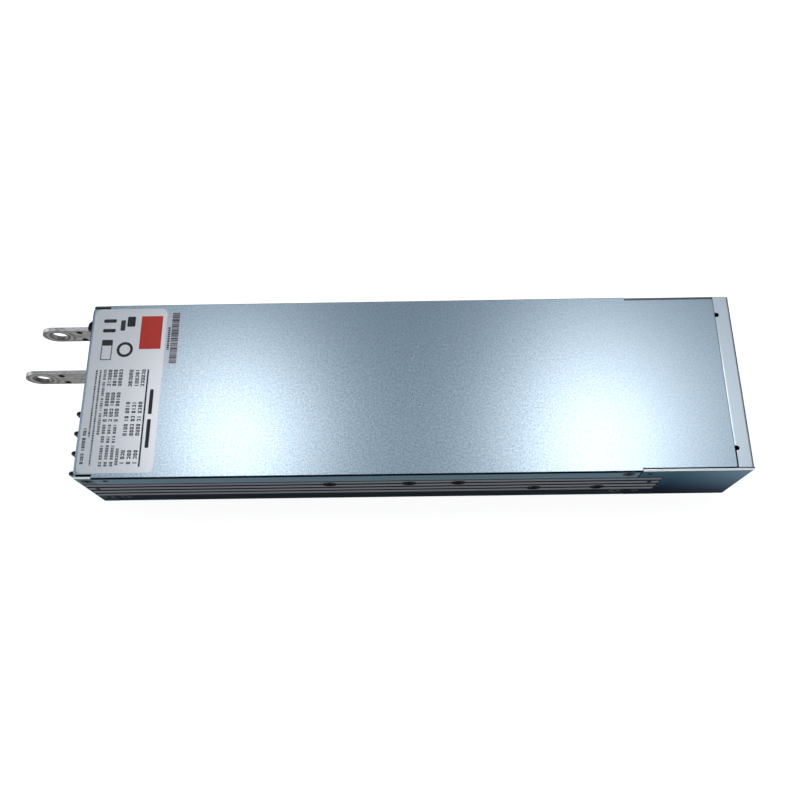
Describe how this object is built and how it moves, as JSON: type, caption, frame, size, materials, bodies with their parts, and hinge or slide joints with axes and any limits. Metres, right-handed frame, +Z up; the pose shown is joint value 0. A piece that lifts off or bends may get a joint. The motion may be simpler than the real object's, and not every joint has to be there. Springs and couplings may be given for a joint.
{
  "type": "switching power supply",
  "caption": "Flat enclosed switching power supply with ribbed metal sides, barrier terminal strip, flat output bars with bolt holes and cooling fans behind a punched rear grille.",
  "frame": {"origin": "centre of the bottom face of the case", "axes": "+X along the case from the terminals to the fans, +Y across the case to the side of the output bars, +Z up out of the cover with the label"},
  "size_m": [0.3345, 0.085, 0.0411],
  "materials": {
    "galvanised_sheet": "galvanised, satin with fine grain",
    "heatsink_aluminium": "extruded, matt",
    "zinc_screw": "zinc plated",
    "dark_screw": "black oxide",
    "black_moulding": "moulded, fine texture",
    "shaft_steel": "ground",
    "ring_magnet": "matt",
    "sintered_bronze": "sintered",
    "stator_iron": "laminated",
    "lead_sleeve": "matt",
    "plated_contact": "nickel plated",
    "tinned_copper": "tin plated, matt",
    "connector_nylon": "moulded",
    "gold_pin": "plated",
    "trimmer_blue": "moulded",
    "trimmer_white": "moulded",
    "led_green": "translucent",
    "label_film": "matt film",
    "board_green": "solder mask",
    "insulating_film": "clear film",
    "fuse_ceramic": "glazed",
    "relay_case": "moulded",
    "capacitor_yellow": "moulded",
    "wound_copper": "enamelled wire",
    "device_epoxy": "moulded epoxy",
    "pad_rubber": "matt",
    "capacitor_sleeve": "shrink sleeve",
    "ferrite": "matt with tape"
  },
  "bodies": {
    "case": {"top_cover": "galvanised_sheet", "bottom_cover": "galvanised_sheet", "front_panel": "galvanised_sheet", "fan_housing": "galvanised_sheet", "side_heatsink_near": "heatsink_aluminium", "side_heatsink_far": "heatsink_aluminium", "cover_screws": "zinc_screw", "bottom_cover_screws": "zinc_screw", "front_panel_screws": "zinc_screw", "fan_housing_screws": "zinc_screw", "fan_screws": "zinc_screw", "board_screws": "zinc_screw", "mount_nuts": "zinc_screw", "device_nuts": "zinc_screw", "device_screws": "dark_screw", "fan_frame_near": "black_moulding", "fan_frame_far": "black_moulding", "terminal_block": "black_moulding", "busbar_support_far": "black_moulding", "busbar_support_near": "black_moulding", "fan_bearings": "sintered_bronze", "fan_stators": "stator_iron", "fan_leads": "lead_sleeve", "terminal_contacts": "plated_contact", "busbar_positive": "tinned_copper", "busbar_negative": "tinned_copper", "control_connector": "connector_nylon", "control_pins": "gold_pin", "trimmer_body": "trimmer_blue", "status_led": "led_green", "rating_label": "label_film", "serial_label": "label_film", "main_board": "board_green", "control_board": "board_green", "insulating_sheet": "insulating_film", "input_fuse": "fuse_ceramic", "inrush_relay": "relay_case", "film_capacitors": "capacitor_yellow", "input_chokes": "wound_copper", "pfc_choke": "wound_copper", "power_devices": "device_epoxy", "thermal_pads": "pad_rubber", "bulk_capacitors": "capacitor_sleeve", "output_capacitors": "capacitor_sleeve", "main_transformer": "ferrite", "auxiliary_transformer": "ferrite"},
    "fan_rotor_near": {"fan_impeller_near": "black_moulding", "fan_shaft_near": "shaft_steel", "fan_magnet_near": "ring_magnet"},
    "fan_rotor_far": {"fan_impeller_far": "black_moulding", "fan_shaft_far": "shaft_steel", "fan_magnet_far": "ring_magnet"},
    "trimmer": {"trimmer_rotor": "trimmer_white"},
    "clamp_1": {"terminal_clamp_1": "plated_contact"},
    "screw_1": {"terminal_screw_1": "plated_contact"},
    "clamp_2": {"terminal_clamp_2": "plated_contact"},
    "screw_2": {"terminal_screw_2": "plated_contact"},
    "clamp_3": {"terminal_clamp_3": "plated_contact"},
    "screw_3": {"terminal_screw_3": "plated_contact"}
  },
  "joints": [
    {"name": "fan_spin_near", "type": "hinge", "parent": "case", "child": "fan_rotor_near", "pos_m": [0.134, -0.02, 0.0205], "axis": [1, 0, 0], "continuous": true},
    {"name": "fan_spin_far", "type": "hinge", "parent": "case", "child": "fan_rotor_far", "pos_m": [0.134, 0.02, 0.0205], "axis": [1, 0, 0], "continuous": true},
    {"name": "trimmer_turn", "type": "hinge", "parent": "case", "child": "trimmer", "pos_m": [-0.1485, 0.0035, 0.014], "axis": [-1, 0, 0], "range_deg": [-105, 105]},
    {"name": "clamp_1_lift", "type": "slide", "parent": "case", "child": "clamp_1", "axis": [-1, 0, 0], "range_m": [0, 0.0028]},
    {"name": "screw_1_turn", "type": "hinge", "parent": "clamp_1", "child": "screw_1", "pos_m": [-0.1548, -0.0128, 0.0224], "axis": [-1, 0, 0], "range_deg": [0, 1440]},
    {"name": "clamp_2_lift", "type": "slide", "parent": "case", "child": "clamp_2", "axis": [-1, 0, 0], "range_m": [0, 0.0028]},
    {"name": "screw_2_turn", "type": "hinge", "parent": "clamp_2", "child": "screw_2", "pos_m": [-0.1548, -0.0224, 0.0224], "axis": [-1, 0, 0], "range_deg": [0, 1440]},
    {"name": "clamp_3_lift", "type": "slide", "parent": "case", "child": "clamp_3", "axis": [-1, 0, 0], "range_m": [0, 0.0028]},
    {"name": "screw_3_turn", "type": "hinge", "parent": "clamp_3", "child": "screw_3", "pos_m": [-0.1548, -0.032, 0.0224], "axis": [-1, 0, 0], "range_deg": [0, 1440]}
  ],
  "couplings": [
    {"joint": "screw_1_turn", "follows": "clamp_1_lift", "rad_per_m": 8976},
    {"joint": "screw_2_turn", "follows": "clamp_2_lift", "rad_per_m": 8976},
    {"joint": "screw_3_turn", "follows": "clamp_3_lift", "rad_per_m": 8976}
  ]
}
